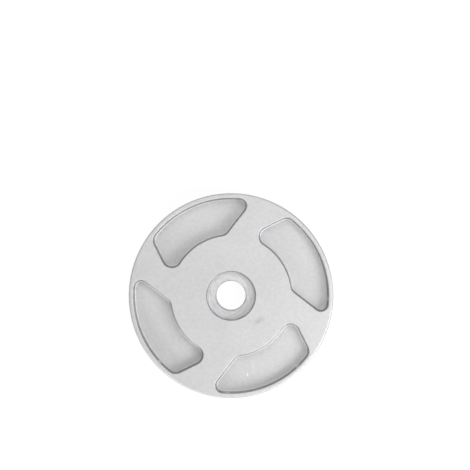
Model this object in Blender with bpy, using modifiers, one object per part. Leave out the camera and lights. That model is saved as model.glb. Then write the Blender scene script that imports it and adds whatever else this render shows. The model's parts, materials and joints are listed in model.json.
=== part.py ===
"""Four-line trimmer head: one aluminium die casting, lying on its back with the pocketed face up.

The origin is on the bore's axis, in the plane of the back. +Z runs out of the pocketed face. Seen
from above, +X is to the right and +Y is up the page.
"""

import math

import bmesh
import bpy
from mathutils import Matrix

MM = 0.001
FULL_TURN_DEG = 360.0
HALF_TURN_DEG = 180.0

# Head: a round plate, widest at the plane where the mould parts
HEAD_RADIUS = 52.5 * MM
HEAD_THICKNESS = 14.0 * MM
PARTING_HEIGHT = 7.0 * MM
RIM_DRAFT_DEG = 1.0
FACE_EDGE_ROUND = 0.9 * MM
BACK_EDGE_ROUND = 1.6 * MM

# Seat and bore: the seat takes a flange with a one inch boss, and the bore lets its spindle through
SEAT_RADIUS = 12.7 * MM
SEAT_DEPTH = 5.0 * MM
SEAT_MOUTH_ROUND = 0.25 * MM
SEAT_FLOOR_FILLET = 0.2 * MM
BORE_RADIUS = 7.5 * MM
BORE_CHAMFER = 0.6 * MM

# Land: the shallow turned ring on the back, where the clamp washer bears
LAND_RADIUS = 18.0 * MM
LAND_DEPTH = 0.5 * MM
LAND_BEVEL = 0.3 * MM

# Pockets: each lies between two arcs about the bore and two straight ends, with a spoke left
# between it and the next. The inner arc leads the outer one round the bore, anticlockwise as seen
# from above, so both ends lean. The clockwise end is the leading one
POCKET_COUNT = 4
POCKET_DEPTH = 7.0 * MM
RIM_WALL = 2.0 * MM
HUB_RADIUS = 30.4 * MM
SPOKE_OUTER_DEG = 21.2
SPOKE_INNER_DEG = 15.7
POCKET_LEAN_DEG = 21.3
FIRST_POCKET_DEG = 110.6
OUTER_LEADING_CORNER = 4.3 * MM
OUTER_TRAILING_CORNER = 5.6 * MM
INNER_LEADING_CORNER = 5.4 * MM
INNER_TRAILING_CORNER = 5.6 * MM
TIGHTEST_CORNER = 0.25 * MM
POCKET_DRAFT_DEG = 3.5
POCKET_MOUTH_ROUND = 0.5 * MM
POCKET_FLOOR_FILLET = 0.8 * MM

# Line holes: spread evenly round the rim, at mid height in the pockets, with flared mouths that
# spare the line
LINE_HOLES_PER_POCKET = 2
LINE_HOLE_RADIUS = 1.8 * MM
LINE_HOLE_FLARE = 0.8 * MM

# Two rounds that share a wall each take at most this much of it
ROUND_SHARE = 0.48

# Facets of the turned and rounded surfaces
HEAD_STEPS = 112
BORE_STEPS = 64
LINE_HOLE_STEPS = 16
OUTER_ARC_STEPS = 24
INNER_ARC_STEPS = 16
CORNER_STEPS = 6
ROUND_STEPS = 3
MOUTH_STEPS = 3
FLAT_ANGLE_DEG = 0.05
SHARP_ANGLE_DEG = 35.0
MERGE_DISTANCE = 0.00001

# A cutter runs this far past the surface that it opens. A rounded mouth stops short of level and
# runs on straight, so that it crosses the surface at a clear angle
CUTTER_REACH = 0.2 * MM
MOUTH_ARC_DEG = 72.0

CAST_GREY = (0.70, 0.70, 0.71, 1.0)
CAST_ROUGHNESS = 0.55


def clear_scene():
    for thing in list(bpy.data.objects):
        bpy.data.objects.remove(thing, do_unlink=True)


def new_collection(name):
    collection = bpy.data.collections.new(name)
    bpy.context.scene.collection.children.link(collection)
    return collection


def cast_aluminium():
    material = bpy.data.materials.new("cast_aluminium")
    material.use_nodes = True
    shader = material.node_tree.nodes["Principled BSDF"]
    shader.inputs["Base Color"].default_value = CAST_GREY
    shader.inputs["Metallic"].default_value = 1.0
    shader.inputs["Roughness"].default_value = CAST_ROUGHNESS
    return material


def within(edge_round, wall):
    """An edge round, or as much of it as the wall between two such rounds has room for."""
    return min(edge_round, ROUND_SHARE * wall)


def arc(centre, radius, start_deg, end_deg, steps):
    """Points along an arc about centre, both ends included."""
    points = []
    for i in range(steps + 1):
        angle = math.radians(start_deg + (end_deg - start_deg) * i / steps)
        points.append((centre[0] + radius * math.cos(angle), centre[1] + radius * math.sin(angle)))
    return points


def turned(name, profile, steps, collection):
    """A profile of (radius, height) points, from the axis and back to it, turned about Z."""
    mesh = bpy.data.meshes.new(name)
    edges = [(i, i + 1) for i in range(len(profile) - 1)]
    mesh.from_pydata([(radius, 0.0, height) for radius, height in profile], edges, [])
    thing = bpy.data.objects.new(name, mesh)
    collection.objects.link(thing)
    screw = thing.modifiers.new("turn", "SCREW")
    screw.steps = steps
    screw.render_steps = steps
    screw.use_merge_vertices = True
    screw.merge_threshold = MERGE_DISTANCE
    return thing


def plate():
    """The head before any hole is cut: a disc with rounded edges and a rim that tapers both ways."""
    draft = math.tan(math.radians(RIM_DRAFT_DEG))
    face_radius = HEAD_RADIUS - draft * (HEAD_THICKNESS - PARTING_HEIGHT)
    back_radius = HEAD_RADIUS - draft * PARTING_HEIGHT
    face_round = within(FACE_EDGE_ROUND, HEAD_THICKNESS)
    back_round = within(BACK_EDGE_ROUND, HEAD_THICKNESS)
    face_edge = arc((face_radius - face_round, HEAD_THICKNESS - face_round), face_round,
                    90.0, 0.0, ROUND_STEPS)
    back_edge = arc((back_radius - back_round, back_round), back_round, 0.0, -90.0, ROUND_STEPS)
    profile = [(0.0, HEAD_THICKNESS), *face_edge, (HEAD_RADIUS, PARTING_HEIGHT), *back_edge, (0.0, 0.0)]
    return turned("head_casting", profile, HEAD_STEPS, new_collection("trimmer_head"))


def rounded_mouth(edge_round):
    """A cutter's flare over a rounded edge, as (step in from the edge, height over the face) pairs.

    The first pair lies above the face. The last is where the round runs into the wall.
    """
    curve = arc((0.0, -edge_round), edge_round, MOUTH_ARC_DEG, 0.0, MOUTH_STEPS)
    rise = CUTTER_REACH - curve[0][1]
    return [(curve[0][0] - rise * math.tan(math.radians(MOUTH_ARC_DEG)), CUTTER_REACH), *curve]


def seat_and_bore():
    """The turned hole up the middle: the seat, the bore under it and the land round it on the back."""
    collection = new_collection("seat_and_bore_cutter")
    seat_height = HEAD_THICKNESS - SEAT_DEPTH
    mouth_round = within(SEAT_MOUTH_ROUND, SEAT_DEPTH)
    fillet = within(SEAT_FLOOR_FILLET, SEAT_DEPTH)
    chamfer = within(BORE_CHAMFER, seat_height - LAND_DEPTH)
    mouth = [(SEAT_RADIUS + mouth_round - step, HEAD_THICKNESS + height)
             for step, height in rounded_mouth(mouth_round)]
    seat_foot = arc((SEAT_RADIUS - fillet, seat_height + fillet), fillet, 0.0, -90.0, ROUND_STEPS)
    bore = [(BORE_RADIUS + chamfer, seat_height), (BORE_RADIUS, seat_height - chamfer),
            (BORE_RADIUS, LAND_DEPTH + chamfer), (BORE_RADIUS + chamfer, LAND_DEPTH)]
    land_slope = LAND_BEVEL / LAND_DEPTH
    land = [(LAND_RADIUS, LAND_DEPTH),
            (LAND_RADIUS + land_slope * (LAND_DEPTH + CUTTER_REACH), -CUTTER_REACH)]
    profile = [(0.0, mouth[0][1]), *mouth, *seat_foot, *bore, *land, (0.0, land[-1][1])]
    turned("seat_and_bore_cutter", profile, BORE_STEPS, collection)
    return collection


def polar(radius, angle_deg):
    angle = math.radians(angle_deg)
    return (radius * math.cos(angle), radius * math.sin(angle))


def bearing(point):
    return math.degrees(math.atan2(point[1], point[0]))


class EndWall:
    """A pocket's straight end: its outward direction, its normal into the pocket and its distance."""

    def __init__(self, outer_deg, inner_deg, pocket_side):
        outer = polar(HEAD_RADIUS - RIM_WALL, outer_deg)
        inner = polar(HUB_RADIUS, inner_deg)
        length = math.dist(outer, inner)
        self.outward = ((outer[0] - inner[0]) / length, (outer[1] - inner[1]) / length)
        self.normal = (-self.outward[1] * pocket_side, self.outward[0] * pocket_side)
        self.distance = inner[0] * self.normal[0] + inner[1] * self.normal[1]

    def corner_centre(self, centre_radius, inset, corner_radius):
        """Centre of a corner round that touches this wall and stands centre_radius from the axis."""
        across = self.distance + inset + corner_radius
        along = math.sqrt(centre_radius ** 2 - across ** 2)
        return tuple(n * across + t * along for n, t in zip(self.normal, self.outward))


def corner_round(centre, radius, start_deg, end_deg):
    """A corner's arc, anticlockwise from start to end."""
    sweep = (end_deg - start_deg) % FULL_TURN_DEG
    return arc(centre, radius, start_deg, start_deg + sweep, CORNER_STEPS)


def pocket_outline(inset):
    """The outline of a pocket that faces +X, its walls moved into the pocket by inset."""
    pitch_deg = FULL_TURN_DEG / POCKET_COUNT
    outer_half_deg = (pitch_deg - SPOKE_OUTER_DEG) / 2.0
    inner_half_deg = (pitch_deg - SPOKE_INNER_DEG) / 2.0
    leading = EndWall(-outer_half_deg, POCKET_LEAN_DEG - inner_half_deg, 1.0)
    trailing = EndWall(outer_half_deg, POCKET_LEAN_DEG + inner_half_deg, -1.0)
    outer_radius = HEAD_RADIUS - RIM_WALL - inset
    inner_radius = HUB_RADIUS + inset

    def corner(wall, size, arc_radius, arc_side):
        """Centre and radius of the round between an end wall and the arc on the side given."""
        radius = max(within(size, HEAD_RADIUS - RIM_WALL - HUB_RADIUS) - inset, TIGHTEST_CORNER)
        return wall.corner_centre(arc_radius + arc_side * radius, inset, radius), radius

    outer_lead, outer_lead_radius = corner(leading, OUTER_LEADING_CORNER, outer_radius, -1.0)
    outer_trail, outer_trail_radius = corner(trailing, OUTER_TRAILING_CORNER, outer_radius, -1.0)
    inner_trail, inner_trail_radius = corner(trailing, INNER_TRAILING_CORNER, inner_radius, 1.0)
    inner_lead, inner_lead_radius = corner(leading, INNER_LEADING_CORNER, inner_radius, 1.0)
    lead_deg = bearing(leading.normal) + HALF_TURN_DEG
    trail_deg = bearing(trailing.normal) + HALF_TURN_DEG

    outline = corner_round(outer_lead, outer_lead_radius, lead_deg, bearing(outer_lead))
    outline += arc((0.0, 0.0), outer_radius, bearing(outer_lead), bearing(outer_trail),
                   OUTER_ARC_STEPS)[1:-1]
    outline += corner_round(outer_trail, outer_trail_radius, bearing(outer_trail), trail_deg)
    outline += corner_round(inner_trail, inner_trail_radius, trail_deg,
                            bearing(inner_trail) + HALF_TURN_DEG)
    outline += arc((0.0, 0.0), inner_radius, bearing(inner_trail), bearing(inner_lead),
                   INNER_ARC_STEPS)[1:-1]
    outline += corner_round(inner_lead, inner_lead_radius, bearing(inner_lead) + HALF_TURN_DEG, lead_deg)
    return outline


def pocket_wall():
    """A pocket's wall from above the face down to the floor, as (inset, height) pairs."""
    mouth_round = within(POCKET_MOUTH_ROUND, POCKET_DEPTH)
    fillet = within(POCKET_FLOOR_FILLET, POCKET_DEPTH)
    floor = HEAD_THICKNESS - POCKET_DEPTH
    mouth = [(step, HEAD_THICKNESS + height) for step, height in rounded_mouth(mouth_round)]
    straight = POCKET_DEPTH - mouth_round - fillet
    foot = mouth_round + straight * math.tan(math.radians(POCKET_DRAFT_DEG))
    return mouth + arc((foot + fillet, floor + fillet), fillet, 180.0, 270.0, ROUND_STEPS)


def ring_of_edges(bm, points, height):
    verts = [bm.verts.new((x, y, height)) for x, y in points]
    return [bm.edges.new(pair) for pair in zip(verts, verts[1:] + verts[:1])]


def pocket_mesh():
    """A pocket as a solid: its outline at each step of the wall, bridged and capped."""
    bm = bmesh.new()
    rings = [ring_of_edges(bm, pocket_outline(inset), height) for inset, height in pocket_wall()]
    for upper, lower in zip(rings, rings[1:]):
        bmesh.ops.bridge_loops(bm, edges=upper + lower)
    for end in (rings[0], rings[-1]):
        bmesh.ops.contextual_create(bm, geom=end)
    bmesh.ops.recalc_face_normals(bm, faces=bm.faces)
    mesh = bpy.data.meshes.new("pocket")
    bm.to_mesh(mesh)
    bm.free()
    return mesh


def pocket_bearings():
    """The middle of each pocket's outer arc."""
    return [FIRST_POCKET_DEG + FULL_TURN_DEG * i / POCKET_COUNT for i in range(POCKET_COUNT)]


def pockets():
    collection = new_collection("pocket_cutters")
    mesh = pocket_mesh()
    for number, angle_deg in enumerate(pocket_bearings(), start=1):
        cutter = bpy.data.objects.new(f"pocket_cutter_{number}", mesh)
        cutter.rotation_euler.z = math.radians(angle_deg)
        collection.objects.link(cutter)
    return collection


def line_hole_profile():
    """A line hole lying along +Z, from inside the pocket out through its flared mouth at the rim."""
    floor_inset = pocket_wall()[-1][0]
    inner_end = HEAD_RADIUS - RIM_WALL - floor_inset - LINE_HOLE_RADIUS
    flare = within(LINE_HOLE_FLARE, RIM_WALL)
    mouth = [(LINE_HOLE_RADIUS + flare - step, HEAD_RADIUS + height)
             for step, height in rounded_mouth(flare)]
    return [(0.0, mouth[0][1]), *mouth, (LINE_HOLE_RADIUS, inner_end), (0.0, inner_end)]


def line_holes():
    """The line holes, spread evenly about the middle of each pocket."""
    collection = new_collection("line_hole_cutters")
    lift = Matrix.Translation((0.0, 0.0, HEAD_THICKNESS - POCKET_DEPTH / 2.0))
    lie_down = Matrix.Rotation(math.radians(90.0), 4, "Y")
    pitch_deg = FULL_TURN_DEG / (POCKET_COUNT * LINE_HOLES_PER_POCKET)
    first_deg = -pitch_deg * (LINE_HOLES_PER_POCKET - 1) / 2.0
    angles_deg = [middle_deg + first_deg + pitch_deg * i
                  for middle_deg in pocket_bearings() for i in range(LINE_HOLES_PER_POCKET)]
    for number, angle_deg in enumerate(angles_deg, start=1):
        cutter = turned(f"line_hole_cutter_{number}", line_hole_profile(), LINE_HOLE_STEPS, collection)
        cutter.matrix_world = lift @ Matrix.Rotation(math.radians(angle_deg), 4, "Z") @ lie_down
    return collection


def cut(thing, cutters):
    """Takes each cutter in a collection out of the thing, and leaves the cutters as guides."""
    boolean = thing.modifiers.new(cutters.name, "BOOLEAN")
    boolean.operation = "DIFFERENCE"
    boolean.solver = "EXACT"
    boolean.operand_type = "COLLECTION"
    boolean.collection = cutters
    for cutter in cutters.objects:
        cutter.display_type = "WIRE"
        cutter.hide_render = True


def finish(thing, material):
    """Makes the modifiers' result the thing's mesh, joins its flat faces and shades its rounds."""
    evaluated = thing.evaluated_get(bpy.context.evaluated_depsgraph_get())
    mesh = bpy.data.meshes.new_from_object(evaluated)
    mesh.name = thing.name
    bm = bmesh.new()
    bm.from_mesh(mesh)
    bmesh.ops.remove_doubles(bm, verts=bm.verts, dist=MERGE_DISTANCE)
    bmesh.ops.dissolve_limit(bm, angle_limit=math.radians(FLAT_ANGLE_DEG), verts=bm.verts, edges=bm.edges)
    bm.to_mesh(mesh)
    bm.free()
    mesh.shade_smooth()
    mesh.set_sharp_from_angle(angle=math.radians(SHARP_ANGLE_DEG))
    mesh.materials.clear()
    mesh.materials.append(material)
    thing.modifiers.clear()
    thing.data = mesh


def build():
    clear_scene()
    head = plate()
    cut(head, seat_and_bore())
    cut(head, pockets())
    cut(head, line_holes())
    finish(head, cast_aluminium())


build()
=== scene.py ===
# %% [markdown]
# # A cast trimmer head
#
# The part is the round head that a brush cutter spins: one aluminium die casting with a stepped hole
# up the middle, four leaning pockets in its face and line holes through its rim. A solid model fixes
# its size and place. This script gives it a fine surface with real rounds, a shot blasted metal
# finish, a plain studio and a camera straight above it.

# %% The frame: the solid model, at its real size
import json
import math

import bpy
from mathutils import Matrix, Vector

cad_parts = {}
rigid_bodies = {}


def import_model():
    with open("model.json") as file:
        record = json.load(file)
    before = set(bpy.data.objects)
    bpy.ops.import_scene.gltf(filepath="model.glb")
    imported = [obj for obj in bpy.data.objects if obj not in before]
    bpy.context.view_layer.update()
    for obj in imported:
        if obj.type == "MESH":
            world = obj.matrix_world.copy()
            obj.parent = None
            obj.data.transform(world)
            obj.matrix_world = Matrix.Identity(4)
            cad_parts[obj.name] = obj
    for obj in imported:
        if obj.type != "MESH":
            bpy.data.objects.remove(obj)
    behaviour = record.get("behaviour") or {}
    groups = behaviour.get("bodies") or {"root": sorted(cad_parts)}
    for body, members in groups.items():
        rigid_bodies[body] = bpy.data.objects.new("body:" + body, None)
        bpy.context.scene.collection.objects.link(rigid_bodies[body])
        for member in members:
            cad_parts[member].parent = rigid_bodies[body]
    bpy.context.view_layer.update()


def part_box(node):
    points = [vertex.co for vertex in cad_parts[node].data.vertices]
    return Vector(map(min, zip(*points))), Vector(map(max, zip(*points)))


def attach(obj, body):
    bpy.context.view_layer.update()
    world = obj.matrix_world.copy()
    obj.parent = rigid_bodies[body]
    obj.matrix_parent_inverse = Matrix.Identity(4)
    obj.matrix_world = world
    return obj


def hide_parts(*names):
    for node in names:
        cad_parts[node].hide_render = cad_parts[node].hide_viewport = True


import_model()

MM = 0.001
FULL_TURN_DEG = 360.0
HEAD_NODE = "head_casting"

low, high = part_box(HEAD_NODE)
HEAD_RADIUS = (high.x - low.x) / 2.0
HEAD_THICKNESS = high.z - low.z
print(f"head {2 * HEAD_RADIUS / MM:.1f} mm across and {HEAD_THICKNESS / MM:.1f} mm thick")

# %% [markdown]
# ## A pen for sections and outlines
#
# Every surface of a die casting comes from a section that was turned or from an outline that was cut
# into the mould, and both are lines and arcs. So the first tool is a pen. It starts from a small plane
# whose corners are merged to a point. A line is that point extruded, and an arc is that point spun
# about the arc's centre. This keeps every round true, with as many facets as it needs. Spin turns
# against the right-hand rule, so the pen changes the sign and its angles are the usual ones.

# %% The pen
SIDE_VIEW = (0.0, 1.0, 0.0)
TOP_VIEW = (0.0, 0.0, 1.0)
MERGE_DISTANCE = 0.001 * MM


class Pen:
    """Draws a chain of edges in a new mesh, seen along the axis that it is given."""

    def __init__(self, name, start, axis):
        bpy.ops.object.select_all(action="DESELECT")
        bpy.ops.mesh.primitive_plane_add(size=MM, location=(0.0, 0.0, 0.0))
        self.thing = bpy.context.object
        self.thing.name = name
        self.thing.data.name = name
        bpy.ops.object.mode_set(mode="EDIT")
        bpy.ops.mesh.select_mode(type="VERT")
        bpy.ops.mesh.merge(type="CENTER")
        bpy.ops.transform.translate(value=start)
        self.place = Vector(start)
        self.axis = Vector(axis)

    def line(self, point):
        """Draws straight to a point."""
        step = Vector(point) - self.place
        bpy.ops.mesh.extrude_vertices_move(TRANSFORM_OT_translate={"value": step})
        self.place = Vector(point)

    def arc(self, centre, angle_deg, steps):
        """Draws round a centre, by the right-hand rule about the pen's axis."""
        angle = math.radians(angle_deg)
        bpy.ops.mesh.spin(steps=steps, angle=-angle, center=centre, axis=self.axis)
        turn = Matrix.Rotation(angle, 3, self.axis)
        self.place = turn @ (self.place - Vector(centre)) + Vector(centre)


def leave_edit_mode():
    bpy.ops.object.mode_set(mode="OBJECT")


def merge_all():
    bpy.ops.mesh.select_all(action="SELECT")
    bpy.ops.mesh.remove_doubles(threshold=MERGE_DISTANCE)


# %% [markdown]
# ## The turned body
#
# The rim, the back, the clamp land, the bore and the seat are all round about one axis, so they are
# one section spun through a full turn. The section runs from the rounded edge of the face down the
# rim, across the back and up the bore to the mouth of the seat. The rim tapers both ways from the
# plane where the two halves of the mould met, and the thin flash that squeezed out there was trimmed
# to a low ridge. At the foot of the seat's wall runs a narrow relief groove, turned so that a boss
# with a sharp edge sits down flat. The flat of the face is left open for now, because the pockets
# share it.

# %% Sizes of the turned body
PARTING_HEIGHT = 7.0 * MM
RIM_DRAFT_DEG = 1.0
FACE_EDGE_ROUND = 0.9 * MM
BACK_EDGE_ROUND = 1.6 * MM
FLASH_WIDTH = 0.35 * MM
FLASH_HEIGHT = 0.07 * MM
SEAT_RADIUS = 12.7 * MM
SEAT_DEPTH = 5.0 * MM
SEAT_MOUTH_ROUND = 0.25 * MM
SEAT_GROOVE_WIDTH = 0.5 * MM
SEAT_GROOVE_DEPTH = 0.5 * MM
BORE_RADIUS = 7.5 * MM
BORE_CHAMFER = 0.6 * MM
LAND_RADIUS = 18.0 * MM
LAND_DEPTH = 0.5 * MM
LAND_BEVEL = 0.3 * MM
TURN_STEPS = 288
ROUND_STEPS = 6

RIM_DRAFT = math.tan(math.radians(RIM_DRAFT_DEG))
FACE_FLAT_RADIUS = HEAD_RADIUS - RIM_DRAFT * (HEAD_THICKNESS - PARTING_HEIGHT) - FACE_EDGE_ROUND
SEAT_HEIGHT = HEAD_THICKNESS - SEAT_DEPTH


# %% The section, drawn and spun
def side(radius, height):
    """A point of the section: its distance from the axis and its height."""
    return (radius, 0.0, height)


def turned_body():
    pen = Pen("trimmer_head_casting", side(FACE_FLAT_RADIUS, HEAD_THICKNESS), SIDE_VIEW)
    pen.arc(side(FACE_FLAT_RADIUS, HEAD_THICKNESS - FACE_EDGE_ROUND), 90.0, ROUND_STEPS)

    flash_foot = RIM_DRAFT * FLASH_WIDTH / 2.0
    pen.line(side(HEAD_RADIUS - flash_foot, PARTING_HEIGHT + FLASH_WIDTH / 2.0))
    pen.line(side(HEAD_RADIUS + FLASH_HEIGHT, PARTING_HEIGHT + FLASH_WIDTH / 4.0))
    pen.line(side(HEAD_RADIUS + FLASH_HEIGHT, PARTING_HEIGHT - FLASH_WIDTH / 4.0))
    pen.line(side(HEAD_RADIUS - flash_foot, PARTING_HEIGHT - FLASH_WIDTH / 2.0))

    back_radius = HEAD_RADIUS - RIM_DRAFT * (PARTING_HEIGHT - BACK_EDGE_ROUND)
    pen.line(side(back_radius, BACK_EDGE_ROUND))
    pen.arc(side(back_radius - BACK_EDGE_ROUND, BACK_EDGE_ROUND), 90.0, ROUND_STEPS)
    pen.line(side(LAND_RADIUS + LAND_BEVEL, 0.0))
    pen.line(side(LAND_RADIUS, LAND_DEPTH))
    pen.line(side(BORE_RADIUS + BORE_CHAMFER, LAND_DEPTH))
    pen.line(side(BORE_RADIUS, LAND_DEPTH + BORE_CHAMFER))
    pen.line(side(BORE_RADIUS, SEAT_HEIGHT - BORE_CHAMFER))
    pen.line(side(BORE_RADIUS + BORE_CHAMFER, SEAT_HEIGHT))
    groove_round = SEAT_GROOVE_WIDTH / 2.0
    groove_centre = side(SEAT_RADIUS - groove_round, SEAT_HEIGHT - SEAT_GROOVE_DEPTH + groove_round)
    pen.line(side(SEAT_RADIUS - SEAT_GROOVE_WIDTH, SEAT_HEIGHT))
    pen.line(side(SEAT_RADIUS - SEAT_GROOVE_WIDTH, groove_centre[2]))
    pen.arc(groove_centre, -180.0, 2 * ROUND_STEPS)
    pen.line(side(SEAT_RADIUS, HEAD_THICKNESS - SEAT_MOUTH_ROUND))
    pen.arc(side(SEAT_RADIUS + SEAT_MOUTH_ROUND, HEAD_THICKNESS - SEAT_MOUTH_ROUND), 90.0, ROUND_STEPS)

    bpy.ops.mesh.select_all(action="SELECT")
    bpy.ops.mesh.spin(steps=TURN_STEPS, angle=math.radians(FULL_TURN_DEG), center=(0.0, 0.0, 0.0),
                      axis=TOP_VIEW)
    merge_all()
    leave_edit_mode()
    return pen.thing


body = turned_body()
print("turned body:", len(body.data.polygons), "faces")

# %% [markdown]
# ## The pockets
#
# Each pocket was cut into the mould as an outline: an arc inside the rim, an arc round the hub, two
# straight ends that lean, and a round in every corner. The ends lean because the inner arc is turned
# ahead of the outer one. The outline is drawn once, filled, and then inset again and again, each time
# a little deeper. Inset keeps the same distance all the way round, so one list of steps makes the
# rounded mouth, the drafted wall and the fillet at the floor, and the corner rounds shrink as a
# milling cutter would leave them.

# %% Sizes of a pocket
POCKET_COUNT = 4
POCKET_DEPTH = 7.0 * MM
RIM_WALL = 2.0 * MM
HUB_RADIUS = 30.4 * MM
SPOKE_OUTER_DEG = 21.2
SPOKE_INNER_DEG = 15.7
POCKET_LEAN_DEG = 21.3
FIRST_POCKET_DEG = 110.6
OUTER_LEADING_CORNER = 4.3 * MM
OUTER_TRAILING_CORNER = 5.6 * MM
INNER_LEADING_CORNER = 5.4 * MM
INNER_TRAILING_CORNER = 5.6 * MM
POCKET_DRAFT_DEG = 3.5
POCKET_MOUTH_ROUND = 0.5 * MM
POCKET_FLOOR_FILLET = 0.8 * MM
OUTER_ARC_STEPS = 64
INNER_ARC_STEPS = 44
CORNER_STEPS = 12

POCKET_PITCH_DEG = FULL_TURN_DEG / POCKET_COUNT
POCKET_OUTER_RADIUS = HEAD_RADIUS - RIM_WALL


# %% Where the ends and the corner rounds of a pocket lie
def polar(radius, angle_deg):
    return Vector((radius * math.cos(math.radians(angle_deg)), radius * math.sin(math.radians(angle_deg))))


def bearing_deg(point):
    return math.degrees(math.atan2(point.y, point.x))


def end_wall(end_side):
    """The straight end on one side: a unit vector outward along it, and its normal into the pocket."""
    outer_deg = end_side * (POCKET_PITCH_DEG - SPOKE_OUTER_DEG) / 2.0
    inner_deg = end_side * (POCKET_PITCH_DEG - SPOKE_INNER_DEG) / 2.0 + POCKET_LEAN_DEG
    inner = polar(HUB_RADIUS, inner_deg)
    outward = (polar(POCKET_OUTER_RADIUS, outer_deg) - inner).normalized()
    normal = Vector((end_side * outward.y, -end_side * outward.x))
    return inner, outward, normal


def corner_centre(end_side, arc_radius, arc_side, radius):
    """The centre of the round between an end and an arc. It lies inside the pocket by its radius."""
    inner, outward, normal = end_wall(end_side)
    across = inner.dot(normal) + radius
    from_axis = arc_radius + arc_side * radius
    return normal * across + outward * math.sqrt(from_axis ** 2 - across ** 2)


# %% The outline, drawn anticlockwise and filled
LEADING, TRAILING = -1.0, 1.0
OUTWARD, INWARD = 1.0, -1.0


def above(point):
    """A point of the outline, in the plane of the face."""
    return (point.x, point.y, HEAD_THICKNESS)


def turn_between(start, end):
    """The angle from one direction to another, anticlockwise."""
    return (bearing_deg(end) - bearing_deg(start)) % FULL_TURN_DEG


def pocket_outline():
    outer_lead = corner_centre(LEADING, POCKET_OUTER_RADIUS, INWARD, OUTER_LEADING_CORNER)
    outer_trail = corner_centre(TRAILING, POCKET_OUTER_RADIUS, INWARD, OUTER_TRAILING_CORNER)
    inner_trail = corner_centre(TRAILING, HUB_RADIUS, OUTWARD, INNER_TRAILING_CORNER)
    inner_lead = corner_centre(LEADING, HUB_RADIUS, OUTWARD, INNER_LEADING_CORNER)
    lead_normal = end_wall(LEADING)[2]
    trail_normal = end_wall(TRAILING)[2]
    axis_point = above(Vector((0.0, 0.0)))

    pen = Pen("pockets", above(outer_lead - lead_normal * OUTER_LEADING_CORNER), TOP_VIEW)
    pen.arc(above(outer_lead), turn_between(-lead_normal, outer_lead), CORNER_STEPS)
    pen.arc(axis_point, turn_between(outer_lead, outer_trail), OUTER_ARC_STEPS)
    pen.arc(above(outer_trail), turn_between(outer_trail, -trail_normal), CORNER_STEPS)
    pen.line(above(inner_trail - trail_normal * INNER_TRAILING_CORNER))
    pen.arc(above(inner_trail), turn_between(-trail_normal, -inner_trail), CORNER_STEPS)
    pen.arc(axis_point, -turn_between(inner_lead, inner_trail), INNER_ARC_STEPS)
    pen.arc(above(inner_lead), turn_between(-inner_lead, -lead_normal), CORNER_STEPS)
    bpy.ops.mesh.select_all(action="SELECT")
    bpy.ops.mesh.edge_face_add()
    leave_edit_mode()
    return pen.thing


# %% Down the wall by insets, then one copy for each quarter
def wall_steps():
    """The wall from the face to the floor, as (inset, depth) pairs that start at the outline."""
    steps = []
    for i in range(1, ROUND_STEPS + 1):
        angle = math.radians(90.0 * i / ROUND_STEPS)
        steps.append((POCKET_MOUTH_ROUND * math.sin(angle), POCKET_MOUTH_ROUND * (1.0 - math.cos(angle))))
    fillet_top = POCKET_DEPTH - POCKET_FLOOR_FILLET
    foot = POCKET_MOUTH_ROUND + (fillet_top - POCKET_MOUTH_ROUND) * math.tan(math.radians(POCKET_DRAFT_DEG))
    for i in range(ROUND_STEPS + 1):
        angle = math.radians(90.0 * i / ROUND_STEPS)
        steps.append((foot + POCKET_FLOOR_FILLET * (1.0 - math.cos(angle)),
                      fillet_top + POCKET_FLOOR_FILLET * math.sin(angle)))
    return steps


def turn_selected(angle_deg):
    """Turns what is selected about the bore's axis, anticlockwise as seen from above."""
    bpy.ops.transform.rotate(value=math.radians(-angle_deg), orient_axis="Z", center_override=(0.0, 0.0, 0.0))


def pocket_shells():
    """Inset moves a face along its normal, so the side that the filled outline faces is looked up."""
    shells = pocket_outline()
    facing = math.copysign(1.0, shells.data.polygons[0].normal.z)
    bpy.ops.object.mode_set(mode="EDIT")
    bpy.ops.mesh.select_all(action="SELECT")
    inset, depth = 0.0, 0.0
    for next_inset, next_depth in wall_steps():
        bpy.ops.mesh.inset(thickness=next_inset - inset, depth=facing * (depth - next_depth),
                           use_even_offset=True)
        inset, depth = next_inset, next_depth
    bpy.ops.mesh.select_all(action="SELECT")
    turn_selected(FIRST_POCKET_DEG)
    for _ in range(POCKET_COUNT - 1):
        bpy.ops.mesh.duplicate()
        turn_selected(POCKET_PITCH_DEG)
    leave_edit_mode()
    return shells


pockets = pocket_shells()
print("pockets:", len(pockets.data.polygons), "faces, wall foot", round(wall_steps()[-1][0] / MM, 3), "mm in")

# %% [markdown]
# ## One skin
#
# The body and the pockets now end in loops that all lie in the plane of the face: the rim's, the
# seat's and one for each pocket. Fill closes the flat between them, holes and all, and the casting is
# one closed skin.

# %% The face is filled
def joined(things):
    bpy.ops.object.select_all(action="DESELECT")
    for thing in things:
        thing.select_set(True)
    bpy.context.view_layer.objects.active = things[0]
    bpy.ops.object.join()
    return things[0]


def open_edges(thing):
    """How many edges of the mesh don't have a face on each side."""
    sides = {}
    for face in thing.data.polygons:
        for key in face.edge_keys:
            sides[key] = sides.get(key, 0) + 1
    return sum(1 for count in sides.values() if count != 2)


casting = joined([body, pockets])
print("open edges before the face is filled:", open_edges(casting))
bpy.ops.object.mode_set(mode="EDIT")
bpy.ops.mesh.select_mode(type="EDGE")
bpy.ops.mesh.select_all(action="DESELECT")
bpy.ops.mesh.select_non_manifold(extend=False, use_wire=False, use_boundary=True, use_multi_face=False,
                                 use_non_contiguous=False, use_verts=False)
bpy.ops.mesh.fill(use_beauty=True)
bpy.ops.mesh.select_all(action="SELECT")
bpy.ops.mesh.normals_make_consistent(inside=False)
leave_edit_mode()
print("and after:", open_edges(casting), "faces", len(casting.data.polygons))

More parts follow.
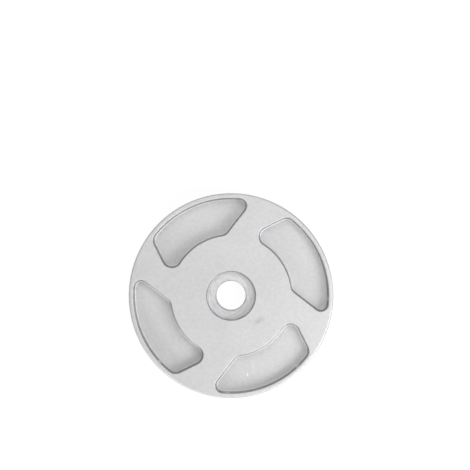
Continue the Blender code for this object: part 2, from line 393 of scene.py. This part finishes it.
# %% [markdown]
# ## The line holes
#
# A length of line goes in through one hole of a pocket and out through the other. The holes are
# drilled straight in from the rim, and their mouths flare so that the line isn't cut by an edge as it
# whips. One drill is drawn lying along +X, spun about its own axis and copied round, and a Boolean
# takes all the copies out of the casting.

# %% The drills
LINE_HOLES_PER_POCKET = 2
LINE_HOLE_RADIUS = 1.8 * MM
LINE_HOLE_FLARE = 0.8 * MM
DRILL_STEPS = 48
DRILL_REACH = 0.3 * MM
FLARE_ARC_DEG = 72.0

LINE_HOLE_HEIGHT = HEAD_THICKNESS - POCKET_DEPTH / 2.0
LINE_HOLE_PITCH_DEG = POCKET_PITCH_DEG / LINE_HOLES_PER_POCKET


def drill_point(along, radius):
    """A point of the drill's section: its distance from the bore's axis and from the hole's own."""
    return (along, 0.0, LINE_HOLE_HEIGHT + radius)


def line_hole_drills():
    """The flare is an arc that stops short of square to the hole, then runs on straight past the rim."""
    flare_edge = LINE_HOLE_RADIUS + LINE_HOLE_FLARE
    flare_foot = HEAD_RADIUS - LINE_HOLE_FLARE
    inner_end = POCKET_OUTER_RADIUS - wall_steps()[-1][0] - LINE_HOLE_RADIUS
    pen = Pen("line_hole_drills", drill_point(inner_end, 0.0), SIDE_VIEW)
    pen.line(drill_point(inner_end, LINE_HOLE_RADIUS))
    pen.line(drill_point(flare_foot, LINE_HOLE_RADIUS))
    pen.arc(drill_point(flare_foot, flare_edge), -FLARE_ARC_DEG, ROUND_STEPS)
    rise = HEAD_RADIUS + DRILL_REACH - pen.place.x
    outer_end = HEAD_RADIUS + DRILL_REACH
    outer_radius = pen.place.z - LINE_HOLE_HEIGHT + rise * math.tan(math.radians(FLARE_ARC_DEG))
    pen.line(drill_point(outer_end, outer_radius))
    pen.line(drill_point(outer_end, 0.0))
    bpy.ops.mesh.select_all(action="SELECT")
    bpy.ops.mesh.spin(steps=DRILL_STEPS, angle=math.radians(FULL_TURN_DEG), center=drill_point(0.0, 0.0),
                      axis=(1.0, 0.0, 0.0))
    merge_all()
    bpy.ops.mesh.normals_make_consistent(inside=False)
    turn_selected(FIRST_POCKET_DEG - LINE_HOLE_PITCH_DEG / 2.0)
    for _ in range(POCKET_COUNT * LINE_HOLES_PER_POCKET - 1):
        bpy.ops.mesh.duplicate()
        turn_selected(LINE_HOLE_PITCH_DEG)
    leave_edit_mode()
    return pen.thing


drills = line_hole_drills()
print("drills:", len(drills.data.polygons), "faces, open edges", open_edges(drills))


# %% The holes are cut, and the drills put away
def apply_modifier(thing, modifier):
    bpy.ops.object.select_all(action="DESELECT")
    thing.select_set(True)
    bpy.context.view_layer.objects.active = thing
    bpy.ops.object.modifier_apply(modifier=modifier.name)


drilling = casting.modifiers.new("line holes", "BOOLEAN")
drilling.operation = "DIFFERENCE"
drilling.solver = "EXACT"
drilling.object = drills
apply_modifier(casting, drilling)
bpy.data.objects.remove(drills, do_unlink=True)
print("drilled casting:", len(casting.data.polygons), "faces, open edges", open_edges(casting))

# %% [markdown]
# ## Smooth rounds, flat flats
#
# Smooth shading blends the facets of a round, and edges that are truly sharp stay sharp. A weighted
# normal then lets each large flat face rule the normals along its border, so that the face stays
# level to the eye right up to where a round starts.

# %% Shading
SHARP_ANGLE_DEG = 32.0

bpy.ops.object.select_all(action="DESELECT")
casting.select_set(True)
bpy.context.view_layer.objects.active = casting
bpy.ops.object.shade_smooth_by_angle(angle=math.radians(SHARP_ANGLE_DEG))
weighting = casting.modifiers.new("weighted normals", "WEIGHTED_NORMAL")
weighting.keep_sharp = True
apply_modifier(casting, weighting)

# %% [markdown]
# ## The metal
#
# The surface is a die-cast aluminium alloy that was shot blasted after the flash came off. The shot
# leaves a fine even grain, so the metal mirrors nothing and looks light grey and soft. Its grey
# varies a little, in clouds where the metal ran and cooled in the mould and in a finer mottle where
# the shot struck harder. Seen or lit at a flat angle, the dents hide one another and the oxide takes
# light, so the metal has little sheen there, and the specular tint, which is a metal's grey at such
# an angle, is set low. Upright faces are drawn a little darker as well: this is painted shade,
# standing in for the shade that falls on the walls of the pockets and the seat. The seat, the bore
# and the clamp land were turned afterwards, and faint rings are left there. All the patterns are
# measured on the object itself, in millimetres.

# %% Helpers for node materials
EDGE_GREY = "#898989"
NOISE_SPREAD = {"From Min": 0.25, "From Max": 0.75}
# The slopes of the object's normal over which the painted wall shade fades in
WALL_SHADE_SLOPES = {"From Min": 0.1, "From Max": 0.7}


def linear(hex_colour):
    """The linear colour, with alpha, of an sRGB hex value."""
    parts = [int(hex_colour[i:i + 2], 16) / 255.0 for i in (1, 3, 5)]
    return tuple(c / 12.92 if c <= 0.04045 else ((c + 0.055) / 1.055) ** 2.4 for c in parts) + (1.0,)


def add_node(tree, kind, links=None, values=None, **properties):
    """Adds a node, links outputs into its inputs and sets its other inputs and its properties."""
    node = tree.nodes.new(kind)
    for name, value in properties.items():
        setattr(node, name, value)
    for name, value in (values or {}).items():
        node.inputs[name].default_value = value
    for name, source in (links or {}).items():
        tree.links.new(source, node.inputs[name])
    return node


def metal(name, hex_colour, roughness):
    """A plain metal, and its shader and the place on the object for the patterns to use."""
    material = bpy.data.materials.new(name)
    material.use_nodes = True
    tree = material.node_tree
    shader = tree.nodes["Principled BSDF"]
    shader.inputs["Base Color"].default_value = linear(hex_colour)
    shader.inputs["Metallic"].default_value = 1.0
    shader.inputs["Roughness"].default_value = roughness
    shader.inputs["Specular Tint"].default_value = linear(EDGE_GREY)
    place = add_node(tree, "ShaderNodeTexCoord").outputs["Object"]
    return material, shader, place


def noise(tree, place, size, detail, low, high):
    """Soft noise with spots about as large as size, spread between the low and the high value."""
    pattern = add_node(tree, "ShaderNodeTexNoise", {"Vector": place}, {"Scale": 1.0 / size, "Detail": detail})
    spread = add_node(tree, "ShaderNodeMapRange", {"Value": pattern.outputs["Fac"]},
                      {**NOISE_SPREAD, "To Min": low, "To Max": high})
    return spread.outputs["Result"]


def mark(tree, place, centre, half_sizes, turn_deg, strength):
    """A soft oval mark at a place on the face: 1 all round it, and 1 plus its strength in the middle."""
    oval = add_node(tree, "ShaderNodeMapping", {"Vector": place},
                    {"Location": centre, "Rotation": (0.0, 0.0, math.radians(turn_deg)), "Scale": half_sizes},
                    vector_type="TEXTURE")
    ball = add_node(tree, "ShaderNodeTexGradient", {"Vector": oval.outputs["Vector"]},
                    gradient_type="QUADRATIC_SPHERE")
    level = add_node(tree, "ShaderNodeMath", {0: ball.outputs["Fac"]}, {1: strength, 2: 1.0},
                     operation="MULTIPLY_ADD")
    return level.outputs["Value"]


def painted_wall_shade(tree, low):
    """Painted shade by the object's own normal: 1 on what lies level, down to the low value on upright walls.
    """
    normal = add_node(tree, "ShaderNodeTexCoord").outputs["Normal"]
    upward = add_node(tree, "ShaderNodeSeparateXYZ", {"Vector": normal}).outputs["Z"]
    level = add_node(tree, "ShaderNodeMath", {0: upward}, operation="ABSOLUTE").outputs["Value"]
    spread = add_node(tree, "ShaderNodeMapRange", {"Value": level},
                      {**WALL_SHADE_SLOPES, "To Min": low, "To Max": 1.0})
    return spread.outputs["Result"]


def shade_by(tree, shader, levels):
    """Multiplies the shader's own colour by each level in turn."""
    total = levels[0]
    for level in levels[1:]:
        total = add_node(tree, "ShaderNodeMath", {0: total, 1: level}, operation="MULTIPLY").outputs["Value"]
    colour = tuple(shader.inputs["Base Color"].default_value)
    tint = add_node(tree, "ShaderNodeVectorMath", {"Scale": total}, {0: colour[:3]}, operation="SCALE")
    tree.links.new(tint.outputs["Vector"], shader.inputs["Base Color"])


# %% Shot blasted die-cast aluminium
CAST_GREY = "#DADADB"
# Painted shade: upright walls are drawn at this fraction of the grey, for the shade that falls on them
WALL_SHADE_LEVEL = 0.90
CAST_ROUGHNESS = 0.56
CLOUD_SIZE = 16.0 * MM
CLOUD_DEPTH = 0.020
MOTTLE_SIZE = 1.7 * MM
MOTTLE_DEPTH = 0.048
# Real shot leaves dents of about 0.2 mm. They are drawn coarser, so that they still show in a small
# picture and don't turn into noise
DENT_SIZE = 0.7 * MM
DENT_DEPTH = 0.005 * MM
SMUDGE_PLACE = (14.0 * MM, -12.9 * MM, HEAD_THICKNESS)
SMUDGE_HALF_SIZES = (5.2 * MM, 3.0 * MM, 2.0 * MM)
SMUDGE_TURN_DEG = 35.0
SMUDGE_STRENGTH = -0.21
SMUDGE_TAIL_PLACE = (16.3 * MM, -11.9 * MM, HEAD_THICKNESS)
SMUDGE_TAIL_HALF_SIZES = (2.6 * MM, 2.2 * MM, 2.0 * MM)
SMUDGE_TAIL_STRENGTH = -0.08
STREAK_PLACE = (11.4 * MM, -36.4 * MM, HEAD_THICKNESS - POCKET_DEPTH)
STREAK_HALF_SIZES = (0.9 * MM, 5.0 * MM, 2.0 * MM)
STREAK_STRENGTH = 0.16
GLINT_PLACE = (8.5 * MM, -40.8 * MM, HEAD_THICKNESS - POCKET_DEPTH)
GLINT_HALF_SIZES = (0.8 * MM, 1.8 * MM, 2.0 * MM)
GLINT_STRENGTH = 0.55


def cast_aluminium():
    """Gives the eye an even, light grey that is soft all over, with clouds, a mottle and a few marks."""
    material, shader, place = metal("die-cast aluminium, shot blasted", CAST_GREY, CAST_ROUGHNESS)
    tree = material.node_tree
    shade_by(tree, shader, [
        # painted shade on upright walls
        painted_wall_shade(tree, WALL_SHADE_LEVEL),
        noise(tree, place, CLOUD_SIZE, 1.0, 1.0 - CLOUD_DEPTH, 1.0 + CLOUD_DEPTH),
        noise(tree, place, MOTTLE_SIZE, 2.0, 1.0 - MOTTLE_DEPTH, 1.0 + MOTTLE_DEPTH),
        mark(tree, place, SMUDGE_PLACE, SMUDGE_HALF_SIZES, SMUDGE_TURN_DEG, SMUDGE_STRENGTH),
        mark(tree, place, SMUDGE_TAIL_PLACE, SMUDGE_TAIL_HALF_SIZES, 0.0, SMUDGE_TAIL_STRENGTH),
        mark(tree, place, STREAK_PLACE, STREAK_HALF_SIZES, 0.0, STREAK_STRENGTH),
        mark(tree, place, GLINT_PLACE, GLINT_HALF_SIZES, 0.0, GLINT_STRENGTH),
    ])
    dents = noise(tree, place, DENT_SIZE, 1.0, 0.0, 1.0)
    bump = add_node(tree, "ShaderNodeBump", {"Height": dents}, {"Strength": 1.0, "Distance": DENT_DEPTH})
    tree.links.new(bump.outputs["Normal"], shader.inputs["Normal"])
    return material


# %% Turned aluminium
TURNED_GREY = "#E2E2E3"
TURNED_ROUGHNESS = 0.5
# Real tool rings are about 0.1 mm apart. They are drawn wider, so that they still show in a small picture
RING_PITCH = 0.9 * MM
RING_DEPTH = 0.004 * MM
RING_SHADE = 0.14
ARCS_PER_TURN = 6.0


def tool_rings(tree, place):
    """Noise that is drawn out along circles about the bore: its axes are the bearing and the radius."""
    flat = add_node(tree, "ShaderNodeVectorMath", {0: place}, {1: (1.0, 1.0, 0.0)}, operation="MULTIPLY")
    flat = flat.outputs["Vector"]
    radius = add_node(tree, "ShaderNodeVectorMath", {0: flat}, operation="LENGTH").outputs["Value"]
    ring = add_node(tree, "ShaderNodeMath", {0: radius}, {1: RING_PITCH}, operation="DIVIDE")
    lift = add_node(tree, "ShaderNodeCombineXYZ", {"Z": ring.outputs["Value"]})
    bearing = add_node(tree, "ShaderNodeVectorMath", {0: flat}, operation="NORMALIZE")
    arcs = add_node(tree, "ShaderNodeVectorMath", {0: bearing.outputs["Vector"]},
                    {1: (ARCS_PER_TURN / 2.0, ARCS_PER_TURN / 2.0, 0.0)}, operation="MULTIPLY")
    return add_node(tree, "ShaderNodeVectorMath", {0: arcs.outputs["Vector"], 1: lift.outputs["Vector"]},
                    operation="ADD").outputs["Vector"]


def turned_aluminium():
    """Gives the eye a slightly brighter metal with faint, broken rings about the bore."""
    material, shader, place = metal("turned aluminium, faint tool rings", TURNED_GREY, TURNED_ROUGHNESS)
    tree = material.node_tree
    rings = noise(tree, tool_rings(tree, place), 1.0, 2.0, 0.0, 1.0)
    shade = add_node(tree, "ShaderNodeMapRange", {"Value": rings},
                     {"To Min": 1.0 - RING_SHADE, "To Max": 1.0 + RING_SHADE})
    # Painted shade on upright walls, then the tool rings
    shade_by(tree, shader, [painted_wall_shade(tree, WALL_SHADE_LEVEL), shade.outputs["Result"]])
    bump = add_node(tree, "ShaderNodeBump", {"Height": rings}, {"Strength": 1.0, "Distance": RING_DEPTH})
    tree.links.new(bump.outputs["Normal"], shader.inputs["Normal"])
    return material


# %% Each face gets its finish
SEAM_TOLERANCE = 0.01 * MM

casting.data.materials.clear()
casting.data.materials.append(cast_aluminium())
casting.data.materials.append(turned_aluminium())


def was_turned(centre):
    """Whether a face lies in the seat or the bore, or on the clamp land."""
    radius = math.hypot(centre.x, centre.y)
    in_the_hole = radius < SEAT_RADIUS + SEAM_TOLERANCE
    on_the_land = centre.z < LAND_DEPTH + SEAM_TOLERANCE and radius < LAND_RADIUS
    return in_the_hole or on_the_land


turned_faces = 0
for face in casting.data.polygons:
    if was_turned(face.center):
        face.material_index = 1
        turned_faces += 1
print("turned faces:", turned_faces, "of", len(casting.data.polygons))

# %% The casting takes the place of the plain solid
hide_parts(HEAD_NODE)
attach(casting, "root")

# %% [markdown]
# ## The studio
#
# The head lies on a white table and is lit softly from all round, with more light from the lower
# right. To the camera, and in the metal's reflections, the table is a sheet that glows almost white,
# under a thin grey layer that takes the light, so that the head's shadow still lies on it. Everything
# else that the table lights sees plain white paper. The glow isn't a lamp, so it is kept out of the
# sampling of lamps. The table is large enough to reach past the picture from any view above it. It
# lies a hair below the back of the head, so that the two never share a plane, and it can be seen
# through from below, so that the back can be looked at.

# %% Table and room
FLOOR_SIZE = 6.0
FLOOR_GAP = 0.05 * MM
PAPER_WHITE = "#F2F2F2"
SHADOW_LAYER = "#6C6C6C"
GLOW_LEVEL = 0.9
WORLD_LEVEL = 0.38


def white_floor():
    bpy.ops.object.select_all(action="DESELECT")
    bpy.ops.mesh.primitive_plane_add(size=FLOOR_SIZE, location=(0.0, 0.0, -FLOOR_GAP))
    floor = bpy.context.object
    floor.name = "floor"
    material = bpy.data.materials.new("white table")
    material.use_nodes = True
    material.cycles.emission_sampling = "NONE"
    tree = material.node_tree
    tree.nodes.clear()
    rays = add_node(tree, "ShaderNodeLightPath").outputs
    seen = rays["Is Camera Ray"]
    for name in ("Is Glossy Ray", "Is Transmission Ray"):
        either = add_node(tree, "ShaderNodeMath", {0: seen, 1: rays[name]}, operation="MAXIMUM")
        seen = either.outputs["Value"]
    paper = add_node(tree, "ShaderNodeBsdfDiffuse", values={"Color": linear(PAPER_WHITE)})
    layer = add_node(tree, "ShaderNodeBsdfDiffuse", values={"Color": linear(SHADOW_LAYER)})
    glow = add_node(tree, "ShaderNodeEmission", values={"Strength": GLOW_LEVEL})
    sheet = add_node(tree, "ShaderNodeAddShader", {0: layer.outputs["BSDF"], 1: glow.outputs["Emission"]})
    table = add_node(tree, "ShaderNodeMixShader",
                     {0: seen, 1: paper.outputs["BSDF"], 2: sheet.outputs["Shader"]})
    below = add_node(tree, "ShaderNodeNewGeometry").outputs["Backfacing"]
    clear = add_node(tree, "ShaderNodeBsdfTransparent")
    one_way = add_node(tree, "ShaderNodeMixShader",
                       {0: below, 1: table.outputs["Shader"], 2: clear.outputs["BSDF"]})
    add_node(tree, "ShaderNodeOutputMaterial", {"Surface": one_way.outputs["Shader"]})
    floor.data.materials.append(material)
    return floor


white_floor()
world = bpy.context.scene.world or bpy.data.worlds.new("studio")
bpy.context.scene.world = world
world.use_nodes = True
sky = world.node_tree.nodes["Background"].inputs
sky["Color"].default_value = (1.0, 1.0, 1.0, 1.0)
sky["Strength"].default_value = WORLD_LEVEL


# %% Soft panels round the head
# Each has a name, a bearing and an elevation in degrees, a distance and a size in metres, and watts
PANELS = (
    ("front left", 235.0, 30.0, 0.50, 0.20, 0.66),
    ("low front", 300.0, 12.0, 0.50, 0.20, 0.37),
    ("front right", 310.0, 45.0, 0.50, 0.25, 0.50),
    ("right", 330.0, 52.0, 0.60, 0.50, 0.46),
    ("key", 345.0, 45.0, 0.40, 0.15, 0.36),
    ("back", 90.0, 62.0, 0.60, 0.35, 0.70),
    ("back left", 150.0, 52.0, 0.60, 0.50, 0.17),
)


def soft_panel(name, bearing, elevation, distance, size, watts):
    """A square lamp at a bearing and an elevation in degrees, turned to face the head."""
    data = bpy.data.lights.new(name, "AREA")
    data.shape = "SQUARE"
    data.size = size
    data.energy = watts
    panel = bpy.data.objects.new(name, data)
    bpy.context.scene.collection.objects.link(panel)
    out = polar(distance * math.cos(math.radians(elevation)), bearing)
    panel.location = (out.x, out.y, distance * math.sin(math.radians(elevation)))
    panel.rotation_euler = panel.location.to_track_quat("Z", "Y").to_euler()
    return panel


for panel in PANELS:
    soft_panel(*panel)

# %% [markdown]
# ## The camera
#
# The photograph was taken from straight above through a long lens, so the rim's side doesn't show and
# the pockets look the same all round. The picture is 470 pixels wide, and the disc's centre lies left of
# and below the picture's, so the camera stands a little to the right of and above the bore's axis.

# %% Camera
PICTURE_WIDTH_PX = 470
DISC_CENTRE_PX = (231.0, 295.75)
DISC_RADIUS_PX = 102.6
CAMERA_DISTANCE = 1.2
SENSOR_WIDTH = 36.0

pixel_size = HEAD_RADIUS / DISC_RADIUS_PX
middle_px = PICTURE_WIDTH_PX / 2.0
camera_data = bpy.data.cameras.new("camera")
camera_data.sensor_width = SENSOR_WIDTH
camera_data.lens = SENSOR_WIDTH * CAMERA_DISTANCE / (PICTURE_WIDTH_PX * pixel_size)
camera = bpy.data.objects.new("camera", camera_data)
bpy.context.scene.collection.objects.link(camera)
camera.location = ((middle_px - DISC_CENTRE_PX[0]) * pixel_size, (DISC_CENTRE_PX[1] - middle_px) * pixel_size,
                   HEAD_THICKNESS + CAMERA_DISTANCE)
bpy.context.scene.camera = camera
bpy.context.scene.view_settings.view_transform = "Standard"
print(f"lens {camera_data.lens:.0f} mm, {pixel_size / MM:.4f} mm to the pixel")
